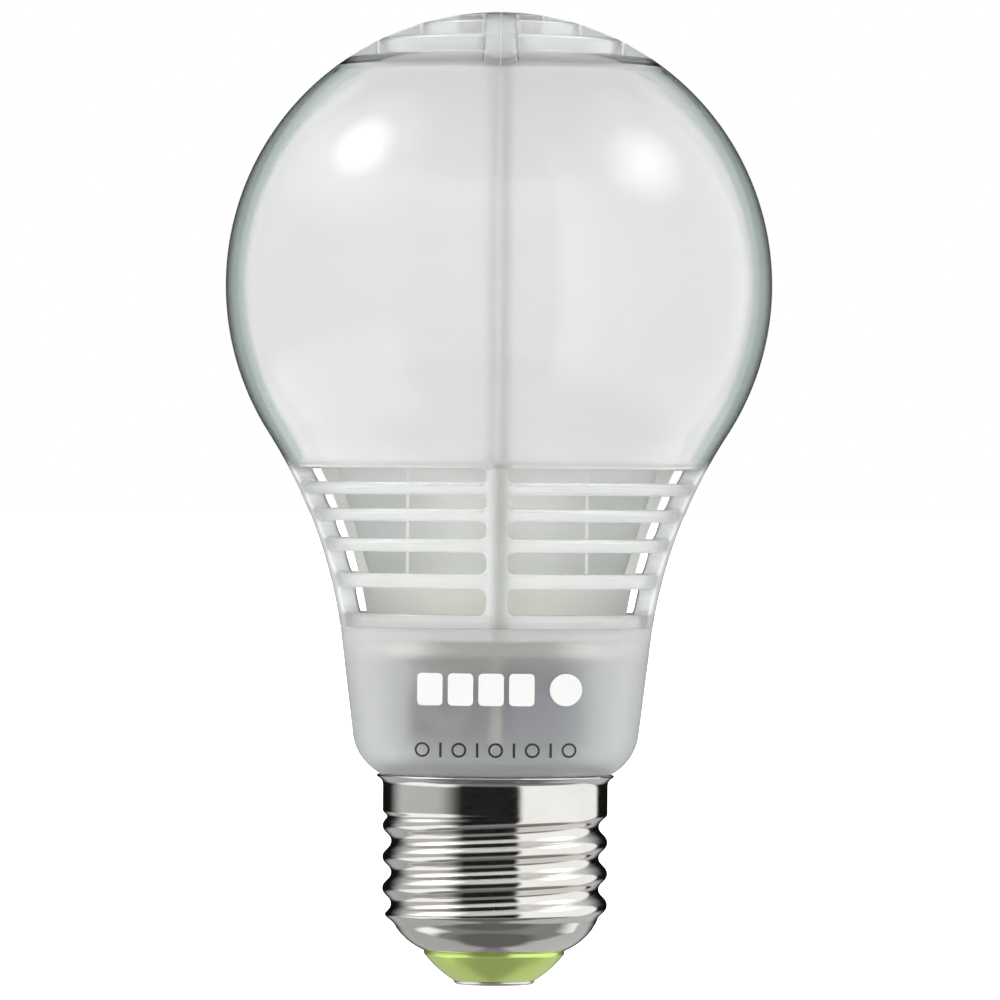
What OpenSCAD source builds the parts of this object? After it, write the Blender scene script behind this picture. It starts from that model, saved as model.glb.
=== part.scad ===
// Connected LED light bulb with an air-cooled globe and a medium screw cap.
// Millimetres. The origin is the middle of the centre contact's bottom face,
// +Z runs up through the globe and -Y is the front.

/* [Globe] */
// Outer radius of the round part of the globe
globe_r = 31.7; // [30.5:0.1:32.5]
// Height of the globe's centre above the centre contact
globe_z = 81.05; // [80:0.05:82]
// Radius of the hollow curve between globe and neck
flare_r = 57; // [54:0.5:60]
// Wall of the clear shell
shell_wall = 1.85; // [1.6:0.05:2]
// Hairline between the two shell halves
seam_gap = 0.04; // [0.02:0.01:0.1]

/* [Air vents] */
// Half the width of the front and back posts between the neck slots
post_half = 1.25; // [1:0.05:1.5]
// Half the width of the left and right posts between the neck slots
side_half = 4.8; // [4:0.1:5]
// Largest corner radius of a neck slot
slot_corner = 0.9; // [0.5:0.05:1]
// Half the width of the cross ribs over the top vents
rib_half = 1.8; // [1.4:0.1:2.2]
// Radius of the closed disc at the top
apex_r = 5.2; // [4.6:0.1:5.6]

/* [Neck] */
// Outer radius of the neck where it is measured
neck_r = 17.8; // [17.5:0.05:18]
// Height at which the neck radius is measured
neck_z = 38.9; // [38:0.1:40]
// Taper of the neck from the vertical, in degrees
neck_taper = 7; // [6:0.1:8]
// Radius of the neck's lower corner
corner_r = 6; // [5:0.1:6.5]
// Height of the joint between the clear shell and the frosted neck
split_z = 41.5; // [41.3:0.1:41.9]
// Height of the neck's bottom face
neck_base = 24.3; // [24:0.1:24.6]

/* [Diffuser] */
// Half the width of the air channel between the four frosted lobes
channel_half = 1; // [0.95:0.05:1.3]
// Wall of a frosted lobe
lobe_wall = 1; // [0.8:0.1:1.4]
// Space between the clear shell and a lobe
lobe_gap = 0.3; // [0.2:0.05:0.5]
// Height of the lobes' flat bottom
lobe_base = 60.2; // [60:0.1:61]
// Height of the lobes' flat top
lobe_top = 106.8; // [105:0.1:107]
// How far the spines between the lobes lie back from the lobes' outer face
spine_back_set = 0.7; // [0.5:0.1:1]
// Thickness of a spine
spine_t = 1.4; // [1.2:0.1:1.6]

/* [Light engine] */
// Thickness of the light boards
board_t = 0.8; // [0.6:0.1:1]
// Height of the light boards' lower edge
board_base = 45.6; // [45:0.1:46.5]
// Height of the light boards' upper edge
board_top = 92; // [86:0.5:96]
// Thickness of the beige carrier around the boards
carrier_t = 1.8; // [1.6:0.1:1.9]
// How far the carrier's curved edges lie inside the globe's outer face
carrier_inset = 3.3; // [3.1:0.1:3.5]
// Height of a light package above its board
led_h = 0.5; // [0.4:0.05:0.55]

/* [Driver] */
// Half the width of the driver board inside the neck
driver_half = 10; // [9.8:0.1:11]
// Height of the driver board's upper edge
driver_top = 38.3; // [37.5:0.1:38.5]
// Thickness of the driver board
driver_t = 1.2; // [1:0.1:1.6]

/* [Screw cap] */
// Outer radius of the collar and of the thread crests
cap_r = 13.05; // [12.95:0.05:13.1]
// Outer radius between the thread crests
root_r = 12.05; // [12:0.05:12.1]
// Rise of the thread in one turn, for seven turns to the inch
thread_pitch = 3.629; // [3.6:0.001:3.65]
// Thickness of the cap's sheet metal
cap_wall = 0.3; // [0.25:0.05:0.35]
// Height of the lower edge of the collar
collar_base = 19.8; // [19.6:0.1:20]

/* [Hidden] */
$fn = 96;

// Rows of neck slots, each as its lower and upper height
slot_rows = [[58.2, 59.8], [55.15, 56.75], [51.75, 53.7], [47.75, 50.2], [43.1, 46.05]];
// Ring vents in the top, each as its inner and outer radius
ring_vents = [[14.2, 17.6], [9.3, 13.6], [apex_r, 8.7]];

// The hollow curve touches both the globe and the neck's cone
taper_out = [cos(neck_taper), -sin(neck_taper)];
taper_up = [sin(neck_taper), cos(neck_taper)];
flare_start = [neck_r, neck_z] + flare_r * taper_out - [0, globe_z];
flare_b = flare_start * taper_up;
flare_c = flare_start * flare_start - pow(globe_r + flare_r, 2);
flare_slide = -flare_b - sqrt(flare_b * flare_b - flare_c);
flare_centre = flare_start + flare_slide * taper_up + [0, globe_z];
flare_dir = (flare_centre - [0, globe_z]) / norm(flare_centre - [0, globe_z]);

function cone_r(z, inset = 0) = neck_r + tan(neck_taper) * (z - neck_z) - inset / cos(neck_taper);
function flare_low(inset) = flare_centre - (flare_r + inset) * taper_out;
function flare_high(inset) = [0, globe_z] + (globe_r - inset) * flare_dir;

// Lower corner of the neck
corner_top = 29;
corner_c = [cone_r(corner_top), corner_top] - corner_r * taper_out;

shell_in = globe_r - shell_wall;
tongue_base = 40;
tongue_out = shell_wall - 0.95;
contact_r = 4.7;
contact_rim = 0.46;
wire_r = 0.55;

// --- outlines in the radius and height plane ---

// Everything inside the globe, flare and cone, moved in by inset
module globe_outline(inset, low, high = 200) {
    bend_low = flare_low(inset);
    bend_high = flare_high(inset);
    reach = bend_high[0] + 1;
    intersection() {
        translate([0, low])
            square([60, high - low]);
        union() {
            polygon([[0, 20], [cone_r(20, inset), 20], bend_low, [0, bend_low[1]]]);
            difference() {
                translate([0, bend_low[1]])
                    square([reach, bend_high[1] - bend_low[1]]);
                translate(flare_centre)
                    circle(flare_r + inset, $fn = 360);
            }
            intersection() {
                translate([0, globe_z])
                    circle(globe_r - inset, $fn = 180);
                translate([0, bend_high[1]])
                    square([60, 60]);
            }
        }
    }
}

// Everything inside the neck's cone and lower corner, moved in by inset
module neck_outline(inset, low, high) {
    turn = corner_c + (corner_r - inset) * taper_out;
    intersection() {
        translate([0, low])
            square([40, high - low]);
        union() {
            translate(corner_c)
                circle(corner_r - inset);
            polygon([[0, corner_c[1] - corner_r + inset], [corner_c[0], corner_c[1] - corner_r + inset],
                     turn, [cone_r(high + 1, inset), high + 1], [0, high + 1]]);
        }
    }
}

// One neck slot seen square on: open at the far end, round at the post whose
// half width is given
module slot_outline(low, high, half) {
    corner = min(slot_corner, (high - low) / 2 - 0.02);
    translate([half + corner, low])
        square([40, high - low]);
    translate([half, low + corner])
        square([corner, high - low - 2 * corner]);
    for (z = [low + corner, high - corner])
        translate([half + corner, z])
            circle(corner, $fn = 32);
}

// --- shell ---

module slot_cut(low, high) {
    intersection() {
        rotate([90, 0, 0])
            linear_extrude(height = 40)
                slot_outline(low, high, post_half);
        mirror([0, 1, 0])
            rotate([90, 0, 90])
                linear_extrude(height = 40)
                    slot_outline(low, high, side_half);
    }
}

module ring_cut(inner, outer) {
    intersection() {
        translate([0, 0, globe_z + 15])
            difference() {
                cylinder(r = outer, h = 20);
                translate([0, 0, -1])
                    cylinder(r = inner, h = 22);
            }
        translate([rib_half, -40 - rib_half, globe_z])
            cube([40, 40, 40]);
    }
}

// The half at +X; the other half is its mirror image
module shell_half() {
    difference() {
        intersection() {
            rotate_extrude($fn = 180)
                union() {
                    difference() {
                        globe_outline(0, split_z);
                        globe_outline(shell_wall, split_z - 1);
                    }
                    difference() {
                        globe_outline(tongue_out, tongue_base, split_z + 0.2);
                        globe_outline(shell_wall, tongue_base - 1);
                    }
                }
            translate([seam_gap / 2, -50, 0])
                cube([50, 100, 130]);
        }
        for (side = [0, 1])
            mirror([0, side, 0]) {
                for (row = slot_rows)
                    slot_cut(row[0], row[1]);
                for (vent = ring_vents)
                    ring_cut(vent[0], vent[1]);
            }
    }
}

module shell_left() {
    color("gainsboro", 0.4)
        mirror([1, 0, 0])
            shell_half();
}

module shell_right() {
    color("gainsboro", 0.4)
        shell_half();
}

// --- frosted lobes ---

// A quarter of the space inside the shell, moved in by inset from every side
module lobe_space(inset) {
    intersection() {
        rotate_extrude($fn = 180)
            globe_outline(shell_wall + lobe_gap + inset, lobe_base + inset, lobe_top - inset);
        translate([channel_half + inset, -50, 0])
            cube([50, 50 - channel_half - inset, 130]);
    }
}

module lobe() {
    difference() {
        lobe_space(0);
        lobe_space(lobe_wall);
        // the port through which the lobe is blown
        translate([10, -10, lobe_base - 1])
            cylinder(r = 1.6, h = 3, $fn = 48);
    }
}

module lobe_front_left() {
    color("whitesmoke")
        mirror([1, 0, 0])
            lobe();
}

module lobe_front_right() {
    color("whitesmoke")
        lobe();
}

module lobe_back_left() {
    color("whitesmoke")
        rotate([0, 0, 180])
            lobe();
}

module lobe_back_right() {
    color("whitesmoke")
        mirror([0, 1, 0])
            lobe();
}

// Frosted strip that closes the air channel between two lobes
module spine() {
    outer = shell_wall + lobe_gap + spine_back_set;
    intersection() {
        rotate_extrude($fn = 180)
            difference() {
                globe_outline(outer, lobe_base, lobe_top - 1.5);
                globe_outline(outer + spine_t, lobe_base - 1);
            }
        translate([0.05 - channel_half, -50, 0])
            cube([2 * channel_half - 0.1, 50, 130]);
    }
}

module spine_front() {
    color("whitesmoke")
        spine();
}

module spine_right() {
    color("whitesmoke")
        rotate([0, 0, 90])
            spine();
}

module spine_back() {
    color("whitesmoke")
        rotate([0, 0, 180])
            spine();
}

module spine_left() {
    color("whitesmoke")
        rotate([0, 0, 270])
            spine();
}

// --- light engine ---

// Half width of the light boards at a height
function board_half(z) = 14.7 + 0.3165 * (z - 45.8);
carrier_top = 60;
bench_z = 67;

// Outline of a light board, grown by margin
module board_outline(low, margin = 0) {
    wide = board_half(bench_z) + margin;
    polygon([[-board_half(low) - margin, low], [board_half(low) + margin, low], [wide, bench_z],
             [wide, board_top - 6], [wide - 6, board_top], [6 - wide, board_top],
             [-wide, board_top - 6], [-wide, bench_z]]);
}

module upright(thick) {
    rotate([90, 0, 0])
        translate([0, 0, -thick / 2])
            linear_extrude(height = thick)
                children();
}

// One panel of the carrier, with a groove for the light board
module carrier_panel() {
    difference() {
        upright(carrier_t) {
            translate([-1, 42])
                square([2, carrier_top - 42]);
            for (side = [0, 1])
                mirror([side, 0])
                    globe_outline(carrier_inset, 42, carrier_top);
        }
        upright(board_t + 0.1)
            board_outline(board_base - 0.05, 0.05);
        upright(carrier_t + 1)
            board_outline(board_base + 0.5, -0.5);
    }
}

module board_carrier() {
    color("cornsilk") {
        difference() {
            union() {
                carrier_panel();
                rotate([0, 0, 90])
                    carrier_panel();
                // deck that closes the driver space
                translate([0, 0, 41])
                    cylinder(r = cone_r(41, shell_wall) - 0.2, h = 1.3);
                // skirt under the deck
                translate([0, 0, driver_top])
                    difference() {
                        cylinder(r = 13.9, h = 2.8);
                        translate([0, 0, -1])
                            cylinder(r = 12.7, h = 4);
                    }
                // legs at the front and back of the driver
                for (side = [-1, 1])
                    translate([-0.7, side * 12.4 - 0.6, 28.2])
                        cube([1.4, 1.2, 13]);
            }
            // slits for the pins between the driver and the wide light board
            for (pin = link_pins)
                translate([pin, 0, 38])
                    cylinder(r = 0.4, h = 9, $fn = 32);
        }
    }
}

module light_board_wide() {
    color("lightgray")
        difference() {
            upright(board_t)
                board_outline(board_base);
            translate([-board_t / 2 - 0.05, -2, 69])
                cube([board_t + 0.1, 4, 40]);
        }
}

module light_board_deep() {
    color("lightgray")
        difference() {
            rotate([0, 0, 90])
                upright(board_t)
                    board_outline(board_base);
            translate([-2, -board_t / 2 - 0.05, 40])
                cube([4, board_t + 0.1, 29.1]);
        }
}

// Places of the light packages on one wing of a board
led_spots = [[9, 72], [17.5, 72], [9, 84], [17.5, 84]];

module led_package() {
    translate([-1.4, 0, -1.75])
        cube([2.8, led_h - 0.1, 3.5]);
    rotate([-90, 0, 0])
        cylinder(r = 1.25, h = led_h, $fn = 32);
}

module led_set() {
    for (wing = [-1, 1])
        for (spot = led_spots)
            for (face = [0, 180])
                translate([wing * spot[0], 0, spot[1]])
                    rotate([0, 0, face])
                        translate([0, board_t / 2, 0])
                            led_package();
}

module leds_wide() {
    color("khaki")
        led_set();
}

module leds_deep() {
    color("khaki")
        rotate([0, 0, 90])
            led_set();
}

// Plug strip that joins the driver board to the wide light board
link_pins = [3.4, 5.4, 7.4];

module board_link() {
    color("dimgray") {
        translate([2.4, -1.2, driver_top + 0.1])
            cube([6, 2.4, 2.5]);
        for (pin = link_pins)
            translate([pin, 0, driver_top + 1])
                cylinder(r = 0.25, h = board_base - driver_top - 1.1, $fn = 24);
    }
}

// --- frosted neck ---

spigot_r = 12.45;
spigot_low_r = 11.35;
spigot_base = 10.6;

module neck_housing() {
    color("lightgray", 0.7)
        rotate_extrude($fn = 180)
            difference() {
                union() {
                    neck_outline(0, neck_base, split_z);
                    translate([0, collar_base + 0.4])
                        square([spigot_r, 5]);
                    translate([0, spigot_base])
                        square([spigot_low_r, 14]);
                }
                neck_outline(shell_wall, neck_base + shell_wall, split_z + 1);
                // rebate for the shell's tongue
                globe_outline(tongue_out - 0.05, tongue_base - 0.1, split_z + 1);
                translate([0, spigot_base - 1])
                    square([spigot_low_r - 1.3, 20]);
            }
}

// --- driver ---

driver_low_half = 8.9;

module driver_board() {
    color("darkslategray")
        difference() {
            upright(driver_t)
                polygon([[-driver_low_half, 13], [driver_low_half, 13], [driver_low_half, 26.5],
                         [driver_half, 27.8], [driver_half, driver_top],
                         [-driver_half, driver_top], [-driver_half, 27.8],
                         [-driver_low_half, 26.5]]);
            for (side = [-1, 1])
                translate([side * 7.4, 5, 14.6])
                    rotate([90, 0, 0])
                        cylinder(r = 0.75, h = 10, $fn = 32);
        }
}

driver_face = driver_t / 2;

// Two E-shaped ferrite halves around the coil
module transformer_core() {
    color("dimgray")
        translate([-5.5, -driver_face - 7.6, 32.6])
            difference() {
                translate([-4.4, 0, -4.4])
                    cube([8.8, 6.6, 8.8]);
                difference() {
                    translate([-3.1, -1, -3.1])
                        cube([6.2, 9, 6.2]);
                    rotate([-90, 0, 0])
                        cylinder(r = 1.4, h = 6.6, $fn = 48);
                }
            }
}

module transformer_coil() {
    color("goldenrod")
        translate([-5.5, -driver_face - 7.2, 32.6])
            rotate([-90, 0, 0])
                difference() {
                    union() {
                        cylinder(r = 2.6, h = 5.8, $fn = 64);
                        cylinder(r = 3, h = 0.5, $fn = 64);
                        translate([0, 0, 5.3])
                            cylinder(r = 3, h = 0.5, $fn = 64);
                    }
                    translate([0, 0, -1])
                        cylinder(r = 1.5, h = 8, $fn = 48);
                }
}

module bulk_capacitor() {
    color("midnightblue")
        translate([5.2, driver_face + 4.3, 27])
            union() {
                cylinder(r = 4, h = 10.4, $fn = 72);
                translate([0, 0, -0.35])
                    cylinder(r = 3.5, h = 11.1, $fn = 72);
            }
}

module film_capacitor() {
    color("firebrick")
        translate([1.6, -driver_face - 4.7, 28.4])
            cube([7.6, 4.6, 7.2]);
}

module choke() {
    color("saddlebrown")
        translate([0, -driver_face - 4.2, 15.2]) {
            cylinder(r = 3.6, h = 0.9, $fn = 64);
            cylinder(r = 2.9, h = 7, $fn = 64);
            translate([0, 0, 6.1])
                cylinder(r = 3.6, h = 0.9, $fn = 64);
        }
}

module bridge_rectifier() {
    color("black")
        translate([-3.2, driver_face + 0.3, 14.7]) {
            cube([6.4, 1.5, 4.9]);
            for (x = [0.4, 5.2])
                for (z = [-0.8, 4.9])
                    translate([x, -0.3, z])
                        cube([0.8, 0.5, 0.8]);
        }
}

module control_chip() {
    color("black")
        translate([-4.9, driver_face + 0.2, 22]) {
            cube([4.9, 1.4, 3.9]);
            for (i = [0 : 3])
                for (z = [-1, 3.9])
                    translate([0.35 + 1.27 * i, -0.2, z])
                        cube([0.4, 0.3, 1]);
        }
}

module power_switch() {
    color("black")
        translate([1.2, driver_face + 0.1, 21.4]) {
            cube([6.2, 1.6, 4.4]);
            for (i = [0 : 2])
                translate([0.9 + 1.9 * i, -0.1, -0.9])
                    cube([0.7, 0.4, 1]);
        }
}

// The radio stands off the driver board at the back left
module radio_board() {
    color("seagreen")
        translate([-9.6, driver_face + 0.2, 27.6])
            cube([9.4, 0.8, 10.4]);
}

module radio_shield() {
    color("silver")
        translate([-8.9, driver_face + 1, 28.2])
            difference() {
                cube([8, 1.8, 6.4]);
                translate([0.2, -1, 0.2])
                    cube([7.6, 2.6, 6]);
            }
}

// Meandering antenna track, drawn as one folded strip
module antenna() {
    color("gold")
        translate([-9.1, driver_face + 1.05, 35.2]) {
            for (i = [0 : 5])
                translate([1.4 * i, 0, 0])
                    cube([0.5, 0.2, 2.2]);
            for (i = [0 : 4])
                translate([1.4 * i, 0, i % 2 == 0 ? 1.8 : 0])
                    cube([1.9, 0.2, 0.4]);
        }
}

module fuse() {
    color("olivedrab")
        translate([6.4, -driver_face - 2, 18.2]) {
            cylinder(r = 1.5, h = 6, $fn = 48);
            translate([0, 0, -1.4])
                cylinder(r = 0.35, h = 8.8, $fn = 24);
        }
}

// Round wire through a list of points
module wire(points) {
    for (i = [0 : len(points) - 2]) {
        step = points[i + 1] - points[i];
        translate(points[i])
            rotate([0, acos(step[2] / norm(step)), atan2(step[1], step[0])])
                cylinder(r = wire_r, h = norm(step), $fn = 24);
    }
    for (p = points)
        translate(p)
            sphere(r = wire_r + 0.06, $fn = 24);
}

module live_wire() {
    color("black")
        wire([[7.4, 0.2, 14.6], [6.6, 1.6, 11.6], [2.6, 1.2, 8.8], [0, 0, 7.3]]);
}

module neutral_wire() {
    color("white")
        wire([[-7.4, 0.2, 14.6], [-7.9, 1.4, 11], [-10.4, 0.8, 8.6]]);
}

// --- screw cap ---

bowl_top = 7.4;

// Outside of the cap, moved in by inset
module cap_outline(inset) {
    drop = inset * 0.5;
    polygon([[0, 3.95 + inset], [8.2 - drop, 3.95 + inset], [9.5 - drop, 4.55 + inset],
             [10.65 - inset, 5.55 + drop], [11.4 - inset, 6.6], [root_r - inset, bowl_top + 0.6],
             [root_r - inset, collar_base - 0.9], [cap_r - inset, collar_base],
             [cap_r - inset, 23.5], [13.74 - inset, 24.15], [13.74 - inset, 24.3 + inset],
             [0, 24.3 + inset]]);
}

// Rounded ridge that winds up the cap like a right-hand screw
thread_low = 7.9;
thread_turns = 3.1;
thread_steps = 20;
thread_depth = cap_r - root_r;
// height of a crest on the +X side
thread_phase = 16.55 - 3 * thread_pitch;

function ridge(u) = [[-0.2, -1.45], [0.35, -1.02], [0.85, -0.52], [1, 0],
                     [0.85, 0.52], [0.35, 1.02], [-0.2, 1.45]][u];

module thread() {
    last = floor(thread_turns * thread_steps);
    start_turn = (thread_low - thread_phase) / thread_pitch;
    points = [for (i = [0 : last])
                  let (turn = start_turn + i / thread_steps,
                       fade = min(1, (i + 1) / 7, (last - i + 1) / 5))
                  for (u = [0 : 6])
                      let (out = ridge(u)[0] > 0 ? ridge(u)[0] * fade : ridge(u)[0])
                      [(root_r + thread_depth * out) * cos(360 * turn),
                       (root_r + thread_depth * out) * sin(360 * turn),
                       thread_phase + thread_pitch * turn + ridge(u)[1]]];
    sides = [for (i = [0 : last - 1])
                 for (u = [0 : 6])
                     let (next = (u + 1) % 7)
                     for (tri = [[7 * i + u, 7 * i + next, 7 * i + 7 + next],
                                 [7 * i + u, 7 * i + 7 + next, 7 * i + 7 + u]])
                         tri];
    polyhedron(points, concat(sides, [[for (u = [6 : -1 : 0]) u]], [[for (u = [0 : 6]) 7 * last + u]]));
}

module screw_cap() {
    color("silver")
        difference() {
            union() {
                rotate_extrude($fn = 120)
                    cap_outline(0);
                thread();
            }
            rotate_extrude($fn = 120)
                cap_outline(cap_wall);
            translate([0, 0, 2])
                cylinder(r = 7.6, h = 4);
        }
}

// Bowl of the insulator: an arc from the cap's edge to the contact
bowl_edge = [8.15, 3.9];
bowl_foot = [contact_r, contact_rim];
bowl_arc_r = 7.2;
bowl_mid = (bowl_edge + bowl_foot) / 2;
bowl_chord = bowl_edge - bowl_foot;
bowl_lift = sqrt(pow(bowl_arc_r, 2) - pow(norm(bowl_chord) / 2, 2));
bowl_centre = bowl_mid + bowl_lift * [-bowl_chord[1], bowl_chord[0]] / norm(bowl_chord);

module insulator() {
    color("yellowgreen")
        rotate_extrude()
            difference() {
                union() {
                    intersection() {
                        translate(bowl_centre)
                            circle(bowl_arc_r, $fn = 180);
                        translate([0, contact_rim + 0.02])
                            square([bowl_edge[0], bowl_edge[1] - contact_rim - 0.02]);
                    }
                    translate([0, bowl_edge[1] - 0.3])
                        square([7.5, 2.1]);
                }
                // rivet hole
                translate([-1, 0])
                    square([2.6, 8]);
                // hollow behind the bowl
                translate([2.4, 3.2])
                    square([3.9, 4]);
            }
}

module centre_contact() {
    color("silver")
        rotate_extrude()
            union() {
                translate([0, 0])
                    square([contact_r - 0.46, 0.46]);
                intersection() {
                    translate([contact_r - 0.46, 0.46])
                        circle(0.46, $fn = 48);
                    translate([0, 0])
                        square([contact_r, 0.46]);
                }
                square([1.55, 6.6]);
                translate([0, 6])
                    square([2.3, 0.6]);
            }
}

shell_left();
shell_right();
lobe_front_left();
lobe_front_right();
lobe_back_left();
lobe_back_right();
spine_front();
spine_back();
spine_left();
spine_right();
board_carrier();
light_board_wide();
light_board_deep();
leds_wide();
leds_deep();
board_link();
neck_housing();
driver_board();
transformer_core();
transformer_coil();
bulk_capacitor();
film_capacitor();
choke();
bridge_rectifier();
control_chip();
power_switch();
radio_board();
radio_shield();
antenna();
fuse();
live_wire();
neutral_wire();
screw_cap();
insulator();
centre_contact();
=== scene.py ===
"""Smart light bulb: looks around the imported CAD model. Lengths in millimetres until a mesh is made."""

import math

import bmesh
import bpy
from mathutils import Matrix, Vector


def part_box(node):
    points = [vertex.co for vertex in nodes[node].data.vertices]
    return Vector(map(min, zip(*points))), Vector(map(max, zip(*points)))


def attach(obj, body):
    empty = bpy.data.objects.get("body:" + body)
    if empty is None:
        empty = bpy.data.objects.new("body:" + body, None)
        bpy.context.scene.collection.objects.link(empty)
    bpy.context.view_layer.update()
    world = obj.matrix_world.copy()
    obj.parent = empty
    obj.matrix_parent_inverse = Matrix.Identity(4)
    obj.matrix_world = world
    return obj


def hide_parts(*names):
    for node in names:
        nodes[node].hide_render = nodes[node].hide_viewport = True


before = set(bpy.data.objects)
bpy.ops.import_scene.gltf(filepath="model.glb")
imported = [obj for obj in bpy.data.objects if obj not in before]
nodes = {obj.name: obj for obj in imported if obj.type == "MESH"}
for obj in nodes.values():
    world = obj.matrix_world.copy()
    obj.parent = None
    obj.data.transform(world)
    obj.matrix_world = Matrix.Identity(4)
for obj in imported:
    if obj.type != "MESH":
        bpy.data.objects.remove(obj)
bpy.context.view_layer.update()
scene = bpy.context.scene
MM = 0.001

# ---------------------------------------------------------------- sizes

shell_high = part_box("shell_right")[1]
GLOBE_R = shell_high.y / MM
GLOBE_Z = shell_high.z / MM - GLOBE_R
FLARE_R = 57.0
WALL = 1.85
SEAM = 0.02
NECK_R, NECK_Z, NECK_TAPER = 17.8, 38.9, math.radians(7)
SPLIT_Z = 41.5
TONGUE_Z = 40.0
TONGUE_INSET = 0.9
POST_HALF = 1.25
SIDE_HALF = 4.8
RIB_HALF = 1.8
SLOT_ROWS = [(43.1, 46.05), (47.75, 50.2), (51.75, 53.7), (55.15, 56.75), (58.2, 59.8)]
VENTS = [(5.2, 8.7), (9.3, 13.6), (14.2, 17.6)]
SLOT_EDGES = [SPLIT_Z, 46.9, 50.975, 54.425, 57.475, 60.6]
VENT_EDGES = [4.3, 9.0, 13.9, 18.7]
SLOT_CORNER, SLOT_FILLET = 0.9, 0.35
VENT_CORNER, VENT_FILLET = 0.45, 0.22
TONGUE_CHAMFER = 0.15

# the hollow curve touches the globe and the neck's cone
taper_out = (math.cos(NECK_TAPER), -math.sin(NECK_TAPER))
taper_up = (math.sin(NECK_TAPER), math.cos(NECK_TAPER))
start_r = NECK_R + FLARE_R * taper_out[0]
start_z = NECK_Z + FLARE_R * taper_out[1] - GLOBE_Z
flare_b = start_r * taper_up[0] + start_z * taper_up[1]
flare_c = start_r ** 2 + start_z ** 2 - (GLOBE_R + FLARE_R) ** 2
slide = -flare_b - math.sqrt(flare_b ** 2 - flare_c)
FLARE_CR = start_r + slide * taper_up[0]
FLARE_CZ = start_z + slide * taper_up[1] + GLOBE_Z
flare_angle = math.atan2(GLOBE_Z - FLARE_CZ, FLARE_CR)


def cone_r(z, inset=0.0):
    """Radius of the neck's cone at a height."""
    return NECK_R + math.tan(NECK_TAPER) * (z - NECK_Z) - inset / math.cos(NECK_TAPER)


def flare_low_z(inset):
    return FLARE_CZ - (FLARE_R + inset) * taper_out[1]


def flare_high_z(inset):
    return GLOBE_Z - (GLOBE_R - inset) * math.sin(flare_angle)


def outline_r(z, inset=0.0):
    """Radius of the globe, flare or cone at a height, moved in by inset."""
    if z <= flare_low_z(inset):
        return cone_r(z, inset)
    if z <= flare_high_z(inset):
        return FLARE_CR - math.sqrt((FLARE_R + inset) ** 2 - (z - FLARE_CZ) ** 2)
    return math.sqrt(max((GLOBE_R - inset) ** 2 - (z - GLOBE_Z) ** 2, 0.0))


def top_z(r, inset=0.0):
    """Height of the globe's top at a radius."""
    return GLOBE_Z + math.sqrt((GLOBE_R - inset) ** 2 - r * r)


def lerp(a, b, t):
    return a + (b - a) * t


# ---------------------------------------------------------------- meshes

def make_piece(name, verts, faces, material, node=None, crease=38):
    """A mesh from millimetres, welded, with smooth faces and sharp edges, riding on the body."""
    mesh = bpy.data.meshes.new(name)
    mesh.from_pydata([tuple(c * MM for c in v) for v in verts], [], faces)
    bm = bmesh.new()
    bm.from_mesh(mesh)
    bmesh.ops.remove_doubles(bm, verts=bm.verts, dist=4e-7)
    bmesh.ops.dissolve_degenerate(bm, edges=bm.edges, dist=1e-8)
    bmesh.ops.recalc_face_normals(bm, faces=bm.faces)
    limit = math.radians(crease)
    for f in bm.faces:
        f.smooth = True
    for e in bm.edges:
        e.smooth = len(e.link_faces) == 2 and e.calc_face_angle(0.0) < limit
    bm.to_mesh(mesh)
    bm.free()
    mesh.materials.append(material)
    obj = bpy.data.objects.new(name, mesh)
    scene.collection.objects.link(obj)
    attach(obj, "root")
    if node:
        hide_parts(node)
    return obj


class Patch:
    """Collects points and faces, in millimetres."""

    def __init__(self):
        self.verts = []
        self.faces = []

    def loop(self, points):
        first = len(self.verts)
        self.verts.extend(points)
        return list(range(first, first + len(points)))

    def strip(self, a, b, closed=False):
        """Quads between two rows of points."""
        count = len(a)
        for i in range(count if closed else count - 1):
            j = (i + 1) % count
            self.faces.append((a[i], a[j], b[j], b[i]))

    def strips(self, rows, closed=False):
        for a, b in zip(rows, rows[1:]):
            self.strip(a, b, closed)

    def mirrored(self, axis):
        """This patch and its mirror image across a plane through the axis."""
        both = Patch()
        both.verts = list(self.verts)
        both.faces = list(self.faces)
        first = len(both.verts)
        for v in self.verts:
            w = list(v)
            w[axis] = -w[axis]
            both.verts.append(tuple(w))
        both.faces += [tuple(first + i for i in reversed(f)) for f in self.faces]
        return both


def lathe(rings, around=192):
    """A closed surface of revolution from (radius, height) pairs."""
    patch = Patch()
    rows = []
    for r, z in rings:
        rows.append(patch.loop([(r * math.cos(a), r * math.sin(a), z)
                                for a in (2 * math.pi * i / around for i in range(around))]))
    patch.strips(rows, closed=True)
    patch.strip(rows[-1], rows[0], closed=True)
    return patch


def arc(cr, cz, radius, start, end, steps):
    """Points on an arc in the radius and height plane, angles in degrees from +r."""
    return [(cr + radius * math.cos(math.radians(lerp(start, end, i / steps))),
             cz + radius * math.sin(math.radians(lerp(start, end, i / steps))))
            for i in range(steps + 1)]


# ---------------------------------------------------------------- materials

def new_material(name):
    material = bpy.data.materials.new(name)
    material.use_nodes = True
    tree = material.node_tree
    shader = next(n for n in tree.nodes if n.type == "BSDF_PRINCIPLED")
    return material, tree, shader


def add_node(tree, kind, inputs=None, **settings):
    item = tree.nodes.new(kind)
    for key, value in settings.items():
        setattr(item, key, value)
    for key, value in (inputs or {}).items():
        item.inputs[key].default_value = value
    return item


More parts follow.
